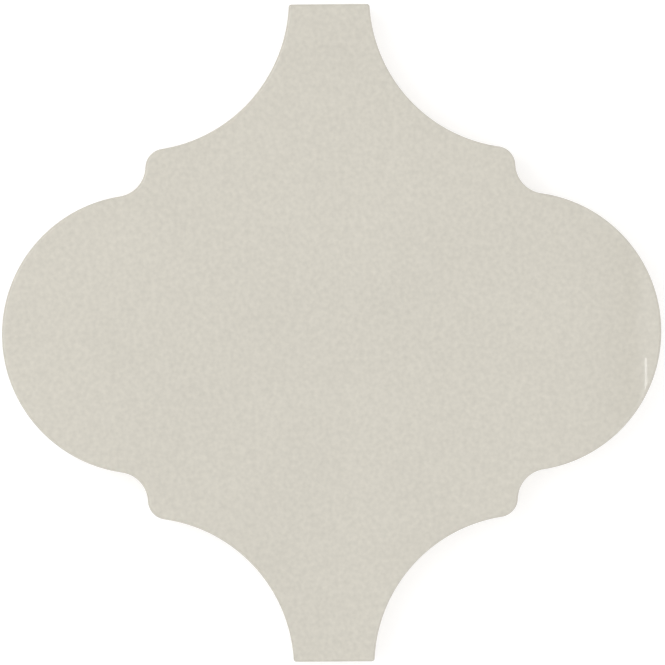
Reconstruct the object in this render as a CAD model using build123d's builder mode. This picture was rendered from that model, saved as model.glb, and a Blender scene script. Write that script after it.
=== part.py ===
"""Lantern wall tile, pressed and fired in one piece, with a glazed face.

All sizes are in millimetres. The tile lies on its back: the origin is the
centre of the back, +X points from lobe to lobe, +Y from neck to neck, and
+Z out of the glazed face.

The outline is the one that lets copies of the tile lock together with an
even joint all round. The waist beside each neck is the neighbour's lobe
grown by the joint, and the small step between waist and lobe maps onto
itself when it is turned half a turn about its middle, so that its cove is
the neighbour's corner grown by the same joint.
"""

import os
from math import isclose, sqrt

from build123d import *

# Outline, seen from the glazed face
tile_width = 120.0
tile_height = 119.6
neck_width = 14.7
joint_width = 2.0
step_height = 8.0
step_corner_radius = 3.5
neck_corner_radius = 0.5

# Section through the edge
tile_thickness = 8.0
glaze_edge_radius = 0.6
back_edge_width = 0.8
back_edge_height = 1.4

# Key pressed into the back, which the adhesive grips
key_rim_width = 4.0
key_pitch = 8.0
key_rib_width = 2.0
key_pocket_depth = 0.9
key_pocket_draft = 20.0

# Lobe and waist: two circles that leave step_height between them
half_pitch = (tile_height + joint_width) / 2
lobe_radius = (half_pitch - joint_width - step_height) / 2
waist_radius = lobe_radius + joint_width
neck_corner = Vector(neck_width / 2, tile_height / 2)
waist_offset = sqrt(waist_radius**2 - (joint_width / 2) ** 2)
lobe_centre = Vector(tile_width / 2 - lobe_radius, 0)
waist_centre = Vector(neck_corner.X + waist_offset, half_pitch)

# Step: a corner and a cove that touch at the middle of the two circles' centres
step_cove_radius = step_corner_radius + joint_width
step_middle = (lobe_centre + waist_centre) / 2
step_reach = (step_corner_radius + step_cove_radius) / 2
span = (waist_centre - lobe_centre) / 2
corner_reach = waist_radius + step_corner_radius
step_rise = (span.length**2 + step_reach**2 - corner_reach**2) / (2 * span.length)
step_run = sqrt(step_reach**2 - step_rise**2)
span_direction = span.normalized()
corner_centre = step_middle + span_direction * step_rise + span_direction.rotate(Axis.Z, 90) * step_run
cove_centre = step_middle * 2 - corner_centre

# Points where one arc runs into the next
waist_end = waist_centre + (corner_centre - waist_centre).normalized() * waist_radius
corner_end = corner_centre + (cove_centre - corner_centre).normalized() * step_corner_radius
lobe_start = lobe_centre + (cove_centre - lobe_centre).normalized() * lobe_radius
lobe_tip = Vector(tile_width / 2, 0)

# Outline: one quarter, mirrored twice
with BuildSketch() as outline:
    with BuildLine():
        Line((0, neck_corner.Y), neck_corner)
        RadiusArc(neck_corner, waist_end, -waist_radius)
        RadiusArc(waist_end, corner_end, step_corner_radius)
        RadiusArc(corner_end, lobe_start, -step_cove_radius)
        RadiusArc(lobe_start, lobe_tip, lobe_radius)
        mirror(about=Plane.YZ)
        mirror(about=Plane.XZ)
    make_face()

# Back key: the pockets of a square grid that fit whole inside a flat rim.
# One column runs up the necks, and a rib crosses the middle of the back.
pocket_width = key_pitch - key_rib_width
columns = 2 * int(tile_width / 2 / key_pitch) + 1
rows = 2 * int(tile_height / 2 / key_pitch)
with BuildSketch() as key_field:
    add(outline.sketch)
    offset(amount=-key_rim_width)
with BuildSketch() as key:
    with GridLocations(key_pitch, key_pitch, columns, rows):
        Rectangle(pocket_width, pocket_width)
    add(key_field.sketch, mode=Mode.INTERSECT)
whole_pockets = key.faces().filter_by(lambda pocket: isclose(pocket.area, pocket_width**2, rel_tol=1e-6))

# Tile: pressed blank, bevelled back edge, softened corners and glaze edge, keyed back
with BuildPart() as tile:
    add(outline.sketch)
    extrude(amount=tile_thickness)
    back = tile.faces().sort_by(Axis.Z)[0]
    chamfer(back.edges(), back_edge_width, back_edge_height, reference=back)
    upright_edges = tile.edges().filter_by(Axis.Z)
    fillet(upright_edges.group_by(Axis.Y)[0] + upright_edges.group_by(Axis.Y)[-1], neck_corner_radius)
    fillet(tile.faces().sort_by(Axis.Z)[-1].edges(), glaze_edge_radius)
    extrude(whole_pockets, amount=key_pocket_depth, taper=key_pocket_draft, mode=Mode.SUBTRACT)

tile.part.label = "tile"
os.makedirs("parts", exist_ok=True)
export_step(tile.part, "parts/tile.step")
print(f"lobe radius {lobe_radius:.2f}, waist radius {waist_radius:.2f}, pockets {len(whole_pockets)}")
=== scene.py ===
# %% [markdown]
# A glazed wall tile is pressed from clay powder in a steel die, sprayed with glaze on its face and fired.
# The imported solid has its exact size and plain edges. This script gives it the skin of the real thing:
# a glaze film that runs over the edge in an uneven line, bare fired body below it, and a pressed back.
# The solid stays as it is, for the physics, and the dressed tile stands in its place.

import math

import bmesh
import bpy
from mathutils import Matrix, Vector, noise


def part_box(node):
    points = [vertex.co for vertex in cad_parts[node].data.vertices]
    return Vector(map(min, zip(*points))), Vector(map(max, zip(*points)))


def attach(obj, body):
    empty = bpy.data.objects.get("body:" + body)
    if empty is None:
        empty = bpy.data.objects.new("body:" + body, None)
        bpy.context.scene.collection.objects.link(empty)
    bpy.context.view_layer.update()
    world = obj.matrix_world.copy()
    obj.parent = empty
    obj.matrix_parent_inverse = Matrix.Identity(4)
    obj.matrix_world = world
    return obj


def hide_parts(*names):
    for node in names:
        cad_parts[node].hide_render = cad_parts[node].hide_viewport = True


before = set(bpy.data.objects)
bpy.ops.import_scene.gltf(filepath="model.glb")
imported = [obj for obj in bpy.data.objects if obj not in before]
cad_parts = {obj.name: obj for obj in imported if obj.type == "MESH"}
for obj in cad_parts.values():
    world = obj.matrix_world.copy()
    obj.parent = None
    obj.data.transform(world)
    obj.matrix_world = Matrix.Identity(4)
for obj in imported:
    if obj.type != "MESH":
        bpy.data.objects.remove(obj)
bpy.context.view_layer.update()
low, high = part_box("tile")
mm = 0.001
print("solid tile, mm:", [round(side / mm, 2) for side in high - low])

# %% [markdown]
# Seen from its face, the tile is a quarter drawn four times: half a straight neck end, a hollow waist, a
# small step of one round corner and one round cove, and a quarter of the side lobe. Every arc runs into
# the next with no kink. A drawn curve or a traced outline would need its points chosen by hand. Arcs
# about known centres need only the sizes that the tile is pressed to, so the centres are worked out first.

# %% Sizes of the outline
tile_width, tile_height, tile_thickness = high - low
neck_width = 14.7 * mm
joint_width = 2.0 * mm
step_height = 8.0 * mm
step_corner_radius = 3.5 * mm

half_pitch = (tile_height + joint_width) / 2
lobe_radius = (half_pitch - joint_width - step_height) / 2
waist_radius = lobe_radius + joint_width
neck_corner = Vector((neck_width / 2, tile_height / 2, 0))
waist_offset = math.sqrt(waist_radius**2 - (joint_width / 2) ** 2)
lobe_centre = Vector((tile_width / 2 - lobe_radius, 0, 0))
waist_centre = Vector((neck_corner.x + waist_offset, half_pitch, 0))
lobe_tip = Vector((tile_width / 2, 0, 0))
print("lobe and waist radius, mm:", round(lobe_radius / mm, 2), round(waist_radius / mm, 2))

# %% Centres and ends of the step's two arcs
step_cove_radius = step_corner_radius + joint_width
step_middle = (lobe_centre + waist_centre) / 2
step_reach = (step_corner_radius + step_cove_radius) / 2
span = (waist_centre - lobe_centre) / 2
corner_reach = waist_radius + step_corner_radius
step_rise = (span.length**2 + step_reach**2 - corner_reach**2) / (2 * span.length)
step_run = math.sqrt(step_reach**2 - step_rise**2)
along = span.normalized()
across = Vector((-along.y, along.x, 0))
corner_centre = step_middle + along * step_rise + across * step_run
cove_centre = step_middle * 2 - corner_centre
waist_end = waist_centre + (corner_centre - waist_centre).normalized() * waist_radius
corner_end = corner_centre + (cove_centre - corner_centre).normalized() * step_corner_radius
lobe_start = lobe_centre + (cove_centre - lobe_centre).normalized() * lobe_radius
print("step corner at, mm:", [round(value / mm, 2) for value in corner_centre.xy])

# %% [markdown]
# Spin turns one point about a centre and leaves the arc's edges behind it, so each arc of the outline is
# one spin that starts where the last one ended. Two mirrors then close the loop, and a fill makes it a
# face. Each arc gets as many points as keep its straight pieces within a few thousandths of a millimetre,
# so a small arc gets them closer together. The straight neck end is drawn in a few pieces, because the line
# of the glaze has to bend there too. The loop lies where the upright side meets the back's bevel.

# %% Draw a quarter with spins
flatness = 0.005 * mm
back_edge_height = 1.4 * mm


def turn(centre, start, end):
    """The angle from start to end as seen from centre, positive anticlockwise."""
    first, last = (start - centre).xy, (end - centre).xy
    return math.atan2(first.cross(last), first.dot(last))


def add_arc(shape, start, centre, end):
    """Spins the point start about centre as far as end, and returns the arc's last point."""
    angle = turn(centre, start.co, end)
    radius = (start.co - centre).xy.length
    steps = math.ceil(abs(angle) * radius / math.sqrt(8 * radius * flatness))
    made = bmesh.ops.spin(shape, geom=[start], cent=centre, axis=(0, 0, 1), angle=angle, steps=steps)
    return made["geom_last"][0]


tile_shape = bmesh.new()
point = tile_shape.verts.new((0, neck_corner.y, 0))
for share in (0.25, 0.5, 0.75, 1.0):
    point = bmesh.ops.extrude_vert_indiv(tile_shape, verts=[point])["verts"][0]
    point.co.x = neck_corner.x * share
for centre, end in (
    (waist_centre, waist_end),
    (corner_centre, corner_end),
    (cove_centre, lobe_start),
    (lobe_centre, lobe_tip),
):
    point = add_arc(tile_shape, point, centre, end)
print("points in a quarter:", len(tile_shape.verts))

# %% Mirror it twice and fill it
for mirror_axis in ("X", "Y"):
    bmesh.ops.mirror(
        tile_shape,
        geom=tile_shape.verts[:] + tile_shape.edges[:],
        matrix=Matrix.Identity(4),
        merge_dist=0.001 * mm,
        axis=mirror_axis,
    )
outline_face = bmesh.ops.edgeloop_fill(tile_shape, edges=tile_shape.edges[:])["faces"][0]
bmesh.ops.translate(tile_shape, vec=(0, 0, back_edge_height), verts=tile_shape.verts[:])
print("points round the tile:", len(tile_shape.verts))

# %% [markdown]
# Extrude makes the upright side. At the bottom the punch leaves a bevel, so that the sharp edge of the back
# doesn't chip. An inset with a depth makes it: the face shrinks and moves down in one go, and its corners
# stay true. A face counts as level where its normal points straight up or down to within a thousandth.

# %% Side and back bevel
back_edge_width = 0.8 * mm
level = 0.999


def widest_face(shape, upward):
    """The largest face that looks straight up, or straight down."""
    sign = 1 if upward else -1
    flat = [face for face in shape.faces if face.normal.z * sign > level]
    return max(flat, key=lambda face: face.calc_area())


def inset_face(shape, face, width, depth=0.0):
    """Insets a face by width, and moves what is left out by depth along its own normal."""
    bmesh.ops.inset_region(
        shape, faces=[face], thickness=width, depth=depth, use_boundary=True, use_even_offset=True
    )


made = bmesh.ops.extrude_face_region(tile_shape, geom=[outline_face])
top_points = [part for part in made["geom"] if isinstance(part, bmesh.types.BMVert)]
bmesh.ops.translate(tile_shape, vec=(0, 0, tile_thickness - back_edge_height), verts=top_points)
bmesh.ops.recalc_face_normals(tile_shape, faces=tile_shape.faces[:])
inset_face(tile_shape, widest_face(tile_shape, False), back_edge_width, back_edge_height)
print("closed:", all(edge.is_manifold for edge in tile_shape.edges))

# %% [markdown]
# Nothing pressed and glazed has a knife edge. The face's edge and the upright corners of the necks are
# rounded by one bevel, so that they meet in a round corner. The back's own edges are only just broken. A
# Bevel modifier would round all sharp edges alike, so the edges are picked here by where they lie.

# %% Round the edges
arris_radius = 0.5 * mm
arris_segments = 5
back_softness = 0.15 * mm
back_segments = 2
least_fold = math.radians(20)
hair = 0.01 * mm


def sharp_edges(shape, wanted):
    """The edges with a real fold in them for which wanted(first point, second point) holds."""
    found = []
    for edge in shape.edges:
        ends = [vert.co for vert in edge.verts]
        if edge.is_manifold and edge.calc_face_angle() > least_fold and wanted(*ends):
            found.append(edge)
    return found


def round_edges(shape, edges, radius, segments):
    """Bevels edges round, without changing their faces' material."""
    bmesh.ops.bevel(
        shape,
        geom=edges,
        offset=radius,
        offset_type="OFFSET",
        segments=segments,
        profile=0.5,
        affect="EDGES",
        material=-1,
        clamp_overlap=False,
    )


def at_height(height):
    """A test for edges that lie level at that height."""
    return lambda a, b: abs(a.z - height) < hair and abs(b.z - height) < hair


upright = sharp_edges(tile_shape, lambda a, b: abs(a.z - b.z) > hair)
face_rim = sharp_edges(tile_shape, at_height(tile_thickness))
round_edges(tile_shape, upright + face_rim, arris_radius, arris_segments)
for height in (0.0, back_edge_height):
    round_edges(tile_shape, sharp_edges(tile_shape, at_height(height)), back_softness, back_segments)
print("upright edges:", len(upright), "rim edges:", len(face_rim))

# %% [markdown]
# A bevel leaves its new points in an order that changes from run to run, and a later cut or merge would
# then come out a hair different each time. So the shape is sorted by place and built again in that order.
# The coordinates are sorted before they are added, because a sum's last digit depends on their order.


# %% Put the shape in a fixed order
def place_of(part):
    """The coordinates of a part's points, added up."""
    points = [part] if isinstance(part, bmesh.types.BMVert) else part.verts
    return tuple(sum(sorted(point.co[axis] for point in points)) for axis in range(3))


def sort_by_place(shape):
    """Sorts points, edges and faces by where they lie, and builds the shape again in that order."""
    for parts in (shape.verts, shape.edges, shape.faces):
        ranks = {part: number for number, part in enumerate(sorted(parts, key=place_of))}
        parts.sort(key=ranks.get)
    sorted_mesh = bpy.data.meshes.new("sorted")
    shape.to_mesh(sorted_mesh)
    shape.clear()
    shape.from_mesh(sorted_mesh)
    bpy.data.meshes.remove(sorted_mesh)


sort_by_place(tile_shape)
print("closed:", all(edge.is_manifold for edge in tile_shape.edges))

# %% [markdown]
# Below the glaze line the bare body stands back by the thickness of the film, and the film itself ends in
# a thin rounded lip. The side gets a ring of points at each height of that little section, and each ring is
# moved in by its own depth along the side's normals. A row of the section holds a height and a depth.

# %% Film of glaze on the side
glaze_line = 5.2 * mm
film_thickness = 0.18 * mm
film_section = (
    (2.2 * mm, film_thickness),
    (3.2 * mm, film_thickness),
    (4.3 * mm, film_thickness),
    (glaze_line - 0.07 * mm, film_thickness),
    (glaze_line, 0.13 * mm),
    (glaze_line + 0.07 * mm, 0.05 * mm),
    (glaze_line + 0.20 * mm, 0.01 * mm),
    (6.1 * mm, 0.0),
    (6.8 * mm, 0.0),
)
for height, _ in film_section:
    bmesh.ops.bisect_plane(
        tile_shape,
        geom=tile_shape.verts[:] + tile_shape.edges[:] + tile_shape.faces[:],
        plane_co=(0, 0, height),
        plane_no=(0, 0, 1),
    )
tile_shape.normal_update()
outward = {vert: Vector((vert.normal.x, vert.normal.y, 0)).normalized() for vert in tile_shape.verts}
for height, depth in film_section:
    for vert, direction in outward.items():
        if abs(vert.co.z - height) < hair:
            vert.co -= direction * depth
print("faces after the rings:", len(tile_shape.faces))

# %% [markdown]
# Glaze is a liquid while it is fired, so the face isn't quite a plane. A net of points lets it carry that.
# The net needs clean cuts through a face with hundreds of corners and hollow sides, which is more than one
# cut can do. Triangles are never hollow, so the face is first split into triangles, then cut along every
# line of the net, and at last the triangles' own edges are dissolved again. Two narrow rings come before
# the net, and keep the rounded rim's shading from spreading over the flat.

# %% Rings inside the rim
ring_widths = (0.16 * mm, 0.22 * mm)
for width in ring_widths:
    inset_face(tile_shape, widest_face(tile_shape, True), width)
print("faces with the rings inside the rim:", len(tile_shape.faces))

# %% Cut the face into a net
exact = 0.1 * hair


def lines_within(reach, spacing):
    """Evenly spaced places on both sides of zero that stay within reach."""
    count = int(reach / spacing)
    return [index * spacing for index in range(-count, count + 1)]


def on_line(edge, axis, lines):
    """Whether an edge runs along one of the lines."""
    start, end = (vert.co[axis] for vert in edge.verts)
    return abs(start - end) < exact and any(abs(start - place) < exact for place in lines)


def once_each(parts):
    """The parts without repeats, in the order in which they first come, which a set wouldn't keep."""
    return list(dict.fromkeys(parts))


def cut_net(shape, face, x_lines, y_lines):
    """Cuts one flat face along lines of constant x and of constant y."""
    pieces = bmesh.ops.triangulate(shape, faces=[face])["faces"]
    geom = once_each(part for piece in pieces for part in (piece, *piece.verts, *piece.edges))
    for normal, lines in (((1, 0, 0), x_lines), ((0, 1, 0), y_lines)):
        for place in lines:
            middle = Vector(normal) * place
            geom = bmesh.ops.bisect_plane(shape, geom=geom, plane_co=middle, plane_no=normal)["geom"]
    pieces = [part for part in geom if isinstance(part, bmesh.types.BMFace)]
    inside = set(pieces)
    inner = once_each(edge for piece in pieces for edge in piece.edges if inside.issuperset(edge.link_faces))
    diagonals = [edge for edge in inner if not on_line(edge, 0, x_lines) and not on_line(edge, 1, y_lines)]
    bmesh.ops.dissolve_edges(shape, edges=diagonals, use_verts=True)


net_spacing = 1.5 * mm
cut_net(
    tile_shape,
    widest_face(tile_shape, True),
    lines_within(tile_width / 2, net_spacing),
    lines_within(tile_height / 2, net_spacing),
)
print("faces now:", len(tile_shape.faces), "closed:", all(edge.is_manifold for edge in tile_shape.edges))

# %% [markdown]
# The back is pressed with a grid of shallow pockets for the adhesive. The solid already has them, so the
# back is cut along the same grid, and a ray shot up at the solid tells which squares are pockets. An inset
# with a negative depth sinks each one with sloping walls, as the punch needs to come free.

# %% Press the pockets into the back
pocket_pitch = 8.0 * mm
rib_width = 2.0 * mm
pocket_depth = 0.9 * mm
pocket_slope = math.radians(20)
pocket_softness = 0.2 * mm
pocket_segments = 2
area_tolerance = 0.001

half_pocket = (pocket_pitch - rib_width) / 2
columns = lines_within(tile_width / 2, pocket_pitch)
rows = [place + pocket_pitch / 2 for place in lines_within(tile_height / 2, pocket_pitch)]
x_lines = [place + side for place in columns for side in (-half_pocket, half_pocket)]
y_lines = [place + side for place in rows for side in (-half_pocket, half_pocket)]
cut_net(tile_shape, widest_face(tile_shape, False), x_lines, y_lines)

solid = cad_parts["tile"]
pocket_area = (2 * half_pocket) ** 2
pockets = []
for square in tile_shape.faces:
    middle = square.calc_center_median()
    if square.normal.z > -level or abs(square.calc_area() / pocket_area - 1) > area_tolerance:
        continue
    hit, place, _, _ = solid.ray_cast(middle - Vector((0, 0, mm)), Vector((0, 0, 1)))
    if hit and place.z > pocket_depth / 2:
        pockets.append(square)
bmesh.ops.inset_individual(
    tile_shape,
    faces=pockets,
    thickness=pocket_depth * math.tan(pocket_slope),
    depth=-pocket_depth,
    use_even_offset=True,
)
pocket_edges = once_each(
    edge
    for pocket in pockets
    for wall in once_each(face for edge in pocket.edges for face in edge.link_faces if face != pocket)
    for edge in wall.edges
    if edge not in pocket.edges[:]
)
round_edges(tile_shape, pocket_edges, pocket_softness, pocket_segments)
sort_by_place(tile_shape)
print("pockets:", len(pockets), "closed:", all(edge.is_manifold for edge in tile_shape.edges))

# %% [markdown]
# Glaze and body are one piece with two finishes, so each face is told which of the two materials it takes.
# The ring at the glaze line already parts them, and the height of a face's middle says on which side it is.

# %% Tell glazed faces from bare ones
GLAZE, BODY = 0, 1
for face in tile_shape.faces:
    face.material_index = GLAZE if face.calc_center_median().z > glaze_line - hair else BODY
    face.smooth = True
glazed = sum(face.material_index == GLAZE for face in tile_shape.faces)
print("glazed faces:", glazed, "bare faces:", len(tile_shape.faces) - glazed)

# %% [markdown]
# Sprayed glaze runs over the edge by its own weight, further in some places than in others, and here and
# there a short tear hangs down. The line is bent by moving the rings of the side up or down by a smooth
# noise, most at the line itself and not at all at the rim or the bevel, so the section stays whole. The
# noise is read in three layers far apart, so that the wander, the ripple and the tears don't coincide.

# %% Let the glaze run down unevenly
wander_length = 11 * mm
wander_depth = 0.9 * mm
ripple_length = 4.3 * mm
ripple_depth = 0.3 * mm
tear_length = 6.5 * mm
tear_depth = 7.0 * mm
tear_start = 0.2


def smooth_noise(place, length, layer):
    """A smooth noise, from about -1 to 1, that changes over length and is the same at all heights."""
    return noise.noise(Vector((place.x, place.y, layer)) / length)


def run_down(place):
    """How far the glaze line lies below its mean height at one place round the tile."""
    wander = wander_depth * smooth_noise(place, wander_length, 0)
    ripple = ripple_depth * smooth_noise(place, ripple_length, 40 * mm)
    tear = tear_depth * max(0.0, smooth_noise(place, tear_length, 90 * mm) - tear_start) ** 1.5
    return wander + ripple + tear


rim_height = tile_thickness - arris_radius
bevel_top = back_edge_height + back_softness
for vert in tile_shape.verts:
    height = vert.co.z
    if bevel_top < height < rim_height:
        if height > glaze_line:
            share = (rim_height - height) / (rim_height - glaze_line)
        else:
            share = (height - bevel_top) / (glaze_line - bevel_top)
        vert.co.z -= run_down(vert.co) * min(1.0, share)
glazed_faces = [face for face in tile_shape.faces if face.material_index == GLAZE]
lowest_glaze = min(vert.co.z for face in glazed_faces for vert in face.verts)
print("lowest glaze, mm:", round(lowest_glaze / mm, 2))

# %% [markdown]
# The film on the face is a touch thinner in some places than in others, by about a hundredth of a millimetre.
# It shows only in reflections, which a plane would keep dead straight. A bump could bend the shading alone,
# but the points are there, so they carry it. They only ever sink, so the tile never grows past its solid.

# %% Let the face swell
swell_height = 0.012 * mm
swell_length = 19 * mm
nearly_level = 0.99
face_verts = [
    vert
    for vert in tile_shape.verts
    if vert.co.z > tile_thickness - 0.1 * mm and abs(vert.normal.z) > nearly_level
]
for vert in face_verts:
    swell = smooth_noise(vert.co, swell_length, 0)
    vert.co.z = min(tile_thickness, vert.co.z - swell_height * (0.5 + 0.5 * swell))
print("points of the face that swell:", len(face_verts))

# %% [markdown]
# The cuts have left a few points almost on top of each other. They are merged, and the shape becomes a mesh
# with its place in its points. Shading is smooth everywhere but over a real crease.

# %% Make the tile object
crease_angle = math.radians(38)
bmesh.ops.remove_doubles(tile_shape, verts=tile_shape.verts[:], dist=0.5 * hair)
bmesh.ops.dissolve_degenerate(tile_shape, edges=tile_shape.edges[:], dist=0.5 * hair)
bmesh.ops.recalc_face_normals(tile_shape, faces=tile_shape.faces[:])
print("closed:", all(edge.is_manifold for edge in tile_shape.edges))
tile_mesh = bpy.data.meshes.new("glazed_tile")
tile_shape.to_mesh(tile_mesh)
tile_shape.free()
tile_mesh.set_sharp_from_angle(angle=crease_angle)
tile = bpy.data.objects.new("glazed_tile", tile_mesh)
bpy.context.scene.collection.objects.link(tile)
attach(tile, "root")
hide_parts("tile")
triangles = sum(len(face.vertices) - 2 for face in tile_mesh.polygons)
print("tile:", len(tile_mesh.vertices), "points,", triangles, "triangles")

# %% [markdown]
# The two finishes are built from three effects: a mottle and a soft relief on both, each at its own scale,
# and scattered pinholes on the bare body. Each effect is a node group with named inputs, built once. A
# group gives only a value that changes over the surface, and the shader itself stays in each material.


# %% Node helpers
def new_group(name, inputs, output):
    """An empty node group with a Vector input, number inputs and one number output."""
    group = bpy.data.node_groups.new(name, "ShaderNodeTree")
    group.interface.new_socket("Vector", in_out="INPUT", socket_type="NodeSocketVector")
    for label, default in inputs.items():
        socket = group.interface.new_socket(label, in_out="INPUT", socket_type="NodeSocketFloat")
        socket.default_value = default
    group.interface.new_socket(output, in_out="OUTPUT", socket_type="NodeSocketFloat")
    return group, group.nodes.new("NodeGroupInput").outputs, group.nodes.new("NodeGroupOutput").inputs


def calculate(tree, operation, first, second=0.0):
    """A Math node's result. Each operand is a socket or a plain number."""
    node = tree.nodes.new("ShaderNodeMath")
    node.operation = operation
    for socket, value in zip(node.inputs, (first, second)):
        if isinstance(value, bpy.types.NodeSocket):
            tree.links.new(value, socket)
        else:
            socket.default_value = value
    return node.outputs[0]


def keep_between(tree, value, least, most):
    """A value that stops at two limits."""
    return calculate(tree, "MINIMUM", calculate(tree, "MAXIMUM", value, least), most)


def add_noise(tree, vector, scale, detail):
    """A Noise texture's value, from 0 to 1."""
    node = tree.nodes.new("ShaderNodeTexNoise")
    node.inputs["Detail"].default_value = detail
    tree.links.new(vector, node.inputs["Vector"])
    tree.links.new(scale, node.inputs["Scale"])
    return node.outputs[0]


# %% Mottle: a factor just above and below one
mottle_group, given, result = new_group("Mottle", {"Grain": 0.001, "Contrast": 0.05}, "Factor")
grain_scale = calculate(mottle_group, "DIVIDE", 1.0, given["Grain"])
grain = add_noise(mottle_group, given["Vector"], grain_scale, detail=1.0)
centred = calculate(mottle_group, "SUBTRACT", grain, 0.5)
scaled = calculate(mottle_group, "MULTIPLY", centred, given["Contrast"])
mottle_group.links.new(calculate(mottle_group, "ADD", scaled, 1.0), result["Factor"])

# %% Pinholes: a mask of small round dots in a share of scattered cells
fade_end = 1.6
pinhole_group, given, result = new_group(
    "Pinholes", {"Spacing": 0.002, "Radius": 0.1, "Share": 0.3}, "Mask"
)
cells = pinhole_group.nodes.new("ShaderNodeTexVoronoi")
pinhole_group.links.new(given["Vector"], cells.inputs["Vector"])
pinhole_group.links.new(calculate(pinhole_group, "DIVIDE", 1.0, given["Spacing"]), cells.inputs["Scale"])
nearness = calculate(pinhole_group, "DIVIDE", cells.outputs["Distance"], given["Radius"])
dot = calculate(pinhole_group, "SUBTRACT", fade_end, nearness)
dot = keep_between(pinhole_group, dot, 0.0, 1.0)
chosen = calculate(pinhole_group, "LESS_THAN", cells.outputs["Color"], given["Share"])
pinhole_group.links.new(calculate(pinhole_group, "MULTIPLY", dot, chosen), result["Mask"])

# %% Relief: a height in metres for a Bump node
relief_group, given, result = new_group("Relief", {"Length": 0.002, "Height": 0.00001}, "Height")
relief_scale = calculate(relief_group, "DIVIDE", 1.0, given["Length"])
swells = add_noise(relief_group, given["Vector"], relief_scale, detail=2.0)
relief_group.links.new(calculate(relief_group, "MULTIPLY", swells, given["Height"]), result["Height"])
print("node groups:", [group.name for group in bpy.data.node_groups])


# %% Material helpers
def new_material(name, roughness):
    """A material, its node tree, its shader and its Object coordinates."""
    material = bpy.data.materials.new(name)
    material.use_nodes = True
    tree = material.node_tree
    shader = tree.nodes["Principled BSDF"]
    shader.inputs["Roughness"].default_value = roughness
    place = tree.nodes.new("ShaderNodeTexCoord").outputs["Object"]
    return material, tree, shader, place


def use_group(tree, group, place, **values):
    """Places a node group in a material with its own values, and returns its output."""
    node = tree.nodes.new("ShaderNodeGroup")
    node.node_tree = group
    tree.links.new(place, node.inputs["Vector"])
    for label, value in values.items():
        node.inputs[label].default_value = value
    return node.outputs[0]


def tint(tree, color, factor):
    """A colour multiplied by a factor that changes over the surface."""
    node = tree.nodes.new("ShaderNodeVectorMath")
    node.operation = "SCALE"
    if isinstance(color, bpy.types.NodeSocket):
        tree.links.new(color, node.inputs[0])
    else:
        node.inputs[0].default_value = color
    tree.links.new(factor, node.inputs["Scale"])
    return node.outputs[0]


def blend_colors(tree, first, second, mask):
    """The first colour where mask is 0 and the second where it is 1."""
    node = tree.nodes.new("ShaderNodeMix")
    node.data_type = "RGBA"
    color_inputs = [socket for socket in node.inputs if socket.type == "RGBA"]
    for socket, value in zip(color_inputs, (first, second)):
        if isinstance(value, bpy.types.NodeSocket):
            tree.links.new(value, socket)
        else:
            socket.default_value = (*value, 1.0)
    tree.links.new(mask, node.inputs["Factor"])
    return next(socket for socket in node.outputs if socket.type == "RGBA")


def add_bump(tree, shader, height):
    """Bends the shader's normal by a height in metres."""
    bump = tree.nodes.new("ShaderNodeBump")
    bump.inputs["Distance"].default_value = 1.0
    tree.links.new(height, bump.inputs["Height"])
    tree.links.new(bump.outputs["Normal"], shader.inputs["Normal"])


# %% [markdown]
# The glaze is a warm light grey. From close by it isn't one flat colour: fine bubbles and crystals under
# the glassy skin make a soft mottle about a millimetre across, and the spray gun leaves faint patches of a
# centimetre and slow clouds. The surface itself is smooth, so all of this is in the colour, and only a
# trace of relief is in the bump. A noise is weakest on its lattice planes, a whole number of grains from
# the origin, so the fine grain has a size at which the face doesn't lie on one.

# %% Glaze
glaze_color = (0.605, 0.576, 0.502)
glaze_roughness = 0.035
glaze_index = 1.5
glaze, tree, shader, place = new_material("glaze", glaze_roughness)
shader.inputs["IOR"].default_value = glaze_index
fine = use_group(tree, mottle_group, place, Grain=0.82 * mm, Contrast=0.215)
patches = use_group(tree, mottle_group, place, Grain=9 * mm, Contrast=0.026)
clouds = use_group(tree, mottle_group, place, Grain=24 * mm, Contrast=0.05)
speckled = tint(tree, tint(tree, tint(tree, glaze_color, fine), patches), clouds)
tree.links.new(speckled, shader.inputs["Base Color"])
add_bump(tree, shader, use_group(tree, relief_group, place, Length=2.2 * mm, Height=0.001 * mm))
tile_mesh.materials.append(glaze)
print("glaze nodes:", len(tree.nodes))

# %% [markdown]
# The bare body is fired clay: matt, sandy, a little warmer than the glaze, with open pores. The pores are
# painted dark, as painted shade inside the holes. The die's wall drags fine upright lines over the side as
# the tile is pushed out. The same noise, squeezed flat so that it doesn't change with height, draws those
# lines. The back is rolled with a thin white wash that keeps it from sticking to the kiln's rollers, and
# only the rim and the ribs take it, so its mask is the height.

# %% Fired body
body_color = (0.710, 0.635, 0.530)
# The pore colour is painted shade: the dark inside of an open pore.
pore_shade_color = (0.42, 0.34, 0.26)
wash_color = (0.830, 0.805, 0.760)
wash_top = 0.35 * mm
wash_fade = 0.3 * mm
wash_left_by_rubbing = 0.35
body_roughness = 0.85
height_squeeze = 0.06
body, tree, shader, place = new_material("fired_body", body_roughness)
squeeze = tree.nodes.new("ShaderNodeMapping")
squeeze.inputs["Scale"].default_value = (1, 1, height_squeeze)
tree.links.new(place, squeeze.inputs["Vector"])
sand = use_group(tree, mottle_group, place, Grain=0.35 * mm, Contrast=0.22)
patches = use_group(tree, mottle_group, place, Grain=7 * mm, Contrast=0.10)
drag_lines = use_group(tree, mottle_group, squeeze.outputs["Vector"], Grain=0.5 * mm, Contrast=0.16)
sandy = tint(tree, tint(tree, tint(tree, body_color, sand), patches), drag_lines)
pores = use_group(tree, pinhole_group, place, Spacing=1.1 * mm, Radius=0.10, Share=0.35)
separate = tree.nodes.new("ShaderNodeSeparateXYZ")
tree.links.new(place, separate.inputs["Vector"])
wash = calculate(tree, "SUBTRACT", wash_top, separate.outputs["Z"])
wash = keep_between(tree, calculate(tree, "MULTIPLY", wash, 1 / wash_fade), 0.0, 1.0)
rubbed = use_group(tree, mottle_group, place, Grain=5 * mm, Contrast=3.0)
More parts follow.
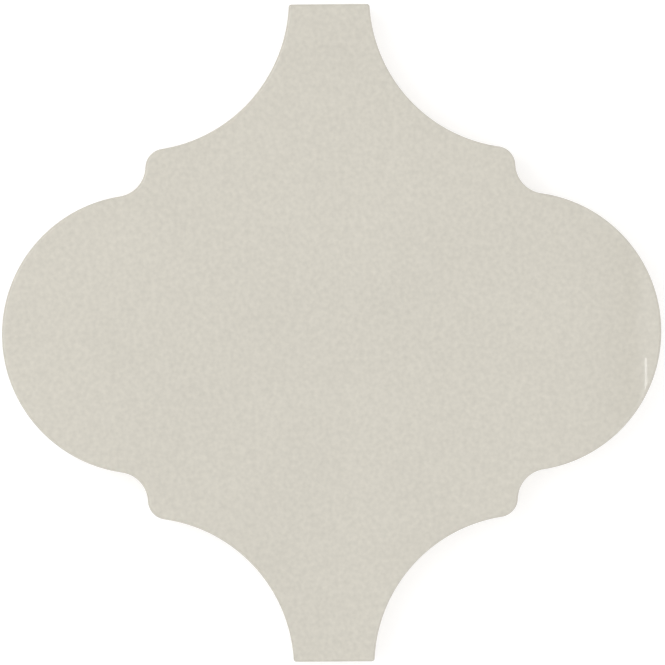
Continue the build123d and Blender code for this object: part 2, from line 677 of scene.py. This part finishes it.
rubbed = keep_between(tree, rubbed, wash_left_by_rubbing, 1.0)
washed = blend_colors(tree, sandy, wash_color, calculate(tree, "MULTIPLY", wash, rubbed))
# The pores are painted dark, as painted shade in the holes, and the bump sinks them only a trace.
tree.links.new(blend_colors(tree, washed, pore_shade_color, pores), shader.inputs["Base Color"])
roughness_height = use_group(tree, relief_group, place, Length=0.3 * mm, Height=0.03 * mm)
drag_height = use_group(tree, relief_group, squeeze.outputs["Vector"], Length=0.6 * mm, Height=0.04 * mm)
pore_depth = calculate(tree, "MULTIPLY", pores, -0.05 * mm)
body_height = calculate(tree, "ADD", calculate(tree, "ADD", roughness_height, drag_height), pore_depth)
add_bump(tree, shader, body_height)
tile_mesh.materials.append(body)
print("materials:", [material.name for material in tile_mesh.materials])

# %% [markdown]
# The tile lies on a plain white table. What the camera sees of it is partly a plain white glow, so that the
# ground stays white, and the rest is a matt floor that still takes the tile's soft shadow. Other rays find
# the matt floor alone, so the glow lights nothing.


# %% What the eye sees
def seen_by_eye(tree):
    """A mask that is 1 for the camera's rays and for those that gloss or glass sends on."""
    rays = tree.nodes.new("ShaderNodeLightPath").outputs
    seen = calculate(tree, "MAXIMUM", rays["Is Camera Ray"], rays["Is Glossy Ray"])
    return calculate(tree, "MAXIMUM", seen, rays["Is Transmission Ray"])


# %% Floor
floor_size = 12.0
floor_white = 0.95
floor_roughness = 0.9
floor_glow = 1.38
shadow_share = 0.6
bpy.ops.mesh.primitive_plane_add(size=floor_size)
floor = bpy.context.object
floor.name = "floor"
floor_material, tree, shader, place = new_material("floor", floor_roughness)
shader.inputs["Base Color"].default_value = (floor_white, floor_white, floor_white, 1)
shader.inputs["Specular IOR Level"].default_value = 0.0
plain_white = tree.nodes.new("ShaderNodeEmission")
plain_white.inputs["Strength"].default_value = floor_glow
mix = tree.nodes.new("ShaderNodeMixShader")
tree.links.new(calculate(tree, "MULTIPLY", seen_by_eye(tree), 1 - shadow_share), mix.inputs["Fac"])
tree.links.new(shader.outputs["BSDF"], mix.inputs[1])
tree.links.new(plain_white.outputs["Emission"], mix.inputs[2])
tree.links.new(mix.outputs["Shader"], tree.nodes["Material Output"].inputs["Surface"])
floor.data.materials.append(floor_material)
print("floor, m:", floor_size)

# %% [markdown]
# The light is a bright, even studio, and a white surround gives most of it. A large soft box on the left
# makes the left of the tile a touch lighter than the right, and a weak one opposite fills its shadow. A
# glossy face shows its gloss only by what it mirrors, so two narrow strips stand low on opposite sides,
# tilted against the tile. Seen from a corner, each of them lays a slanting streak across the face.

# %% Surround
surround_strength = 0.836
world = bpy.data.worlds.new("surround")
world.use_nodes = True
bpy.context.scene.world = world
tree = world.node_tree
lighting = tree.nodes["Background"]
lighting.inputs["Color"].default_value = (1, 1, 1, 1)
lighting.inputs["Strength"].default_value = surround_strength
backdrop = tree.nodes.new("ShaderNodeBackground")
backdrop.inputs["Color"].default_value = (1, 1, 1, 1)
mix = tree.nodes.new("ShaderNodeMixShader")
tree.links.new(seen_by_eye(tree), mix.inputs["Fac"])
tree.links.new(lighting.outputs["Background"], mix.inputs[1])
tree.links.new(backdrop.outputs["Background"], mix.inputs[2])
tree.links.new(mix.outputs["Shader"], tree.nodes["World Output"].inputs["Surface"])
print("surround strength:", surround_strength)

# %% Lamps
tile_middle = (0, 0, 0)
key_size = 0.45
fill_size = 1.5
low_width = 0.05
low_length = 0.6
low_tilt = math.radians(38)


def add_lamp(name, place, aim, width, length, radiance, tilt=0.0):
    """A rectangular lamp of a given radiance, hidden from the camera itself."""
    data = bpy.data.lights.new(name, "AREA")
    data.shape = "RECTANGLE"
    data.size, data.size_y = width, length
    data.energy = radiance * math.pi * width * length
    lamp = bpy.data.objects.new(name, data)
    lamp.location = place
    lamp.rotation_euler = (Vector(aim) - Vector(place)).to_track_quat("-Z", "Y").to_euler()
    lamp.rotation_euler.rotate_axis("Z", tilt)
    lamp.visible_camera = False
    bpy.context.scene.collection.objects.link(lamp)
    return lamp


add_lamp("key", (-0.38, 0.10, 0.60), tile_middle, key_size, key_size, radiance=1.65)
add_lamp("fill", (1.40, -0.90, 0.90), tile_middle, fill_size, fill_size, radiance=0.35)
add_lamp("low_left", (-0.865, 0.815, 0.54), tile_middle, low_width, low_length, 1.0, low_tilt)
add_lamp("low_right", (0.925, -0.875, 0.35), tile_middle, low_width, low_length, 0.35, low_tilt)
print("lamps:", len(bpy.data.lights))

# %% [markdown]
# The camera looks straight down, as the tile was photographed, from far enough away that the sides stay
# hidden. The photograph is turned by less than half a degree, and its middle is a little off the tile's.

# %% Camera
picture_size = 665
tile_center_in_picture = (331.64, 332.885)
pixels_per_metre = 5500.0
picture_turn = math.radians(0.4425)
camera_distance = 0.9

frame_width = picture_size / pixels_per_metre
camera_data = bpy.data.cameras.new("camera")
camera = bpy.data.objects.new("camera", camera_data)
camera_data.lens = camera_data.sensor_width * camera_distance / frame_width
camera_x = (picture_size / 2 - tile_center_in_picture[0]) / pixels_per_metre
camera_y = (tile_center_in_picture[1] - picture_size / 2) / pixels_per_metre
camera.location = (camera_x, camera_y, tile_thickness + camera_distance)
camera.rotation_euler = (0, 0, -picture_turn)
bpy.context.scene.collection.objects.link(camera)
bpy.context.scene.camera = camera
bpy.context.scene.view_settings.view_transform = "Standard"
print("camera lens, mm:", round(camera_data.lens, 1))

# %% [markdown]
# From straight above, the glaze mirrors only what hangs over it. Wide faint panels with a gap between them
# leave a slightly darker band inside the right lobe, and a short bright strip draws the line beside it. The
# band fades in from the left, so three panels end there one after the other. They hang a little apart,
# because of lamps in one plane a ray meets only one. Their places are worked out backwards, from where they
# show on the face up to where they hang. Diffuse rays don't see them, so they change no colour.

# %% Reflections in the glaze
panel_height = 0.6
panel_reach = 400 * mm
panel_gap = 20 * mm
panel_edges = (49.4 * mm, 51.5 * mm, 53.6 * mm)
top_radiance = 0.21
side_radiance = 1.05
strip_height = 0.03
strip_radiance = 4.8


def mirrored(tile_x, tile_y, height):
    """Where a lamp at a height above the face shows at one place on the face, seen by the camera."""
    spread = height / camera_distance
    x = tile_x + (tile_x - camera_x) * spread
    y = tile_y + (tile_y - camera_y) * spread
    return Vector((x, y, tile_thickness + height))


def add_reflection(name, left, right, front, rear, height, radiance):
    """A level lamp that shows only in the gloss, where it fills that rectangle of the face's plane."""
    corners = mirrored(left, front, height), mirrored(right, rear, height)
    middle = (corners[0] + corners[1]) / 2
    size = corners[1] - corners[0]
    lamp = add_lamp(name, middle, middle - Vector((0, 0, 1)), size.x, size.y, radiance)
    lamp.visible_diffuse = False


for number, edge in enumerate(panel_edges):
    height = panel_height + number * panel_gap
    name = f"top_panel_{number}"
    add_reflection(name, -panel_reach, edge, -panel_reach, panel_reach, height, top_radiance)
side_span = (56.1 * mm, panel_reach, -panel_reach, panel_reach)
add_reflection("side_panel", *side_span, panel_height, side_radiance)
strip_span = (56.85 * mm, 57.3 * mm, -14 * mm, -5 * mm)
add_reflection("strip", *strip_span, strip_height, strip_radiance)
print("lamps with the reflections:", len(bpy.data.lights))
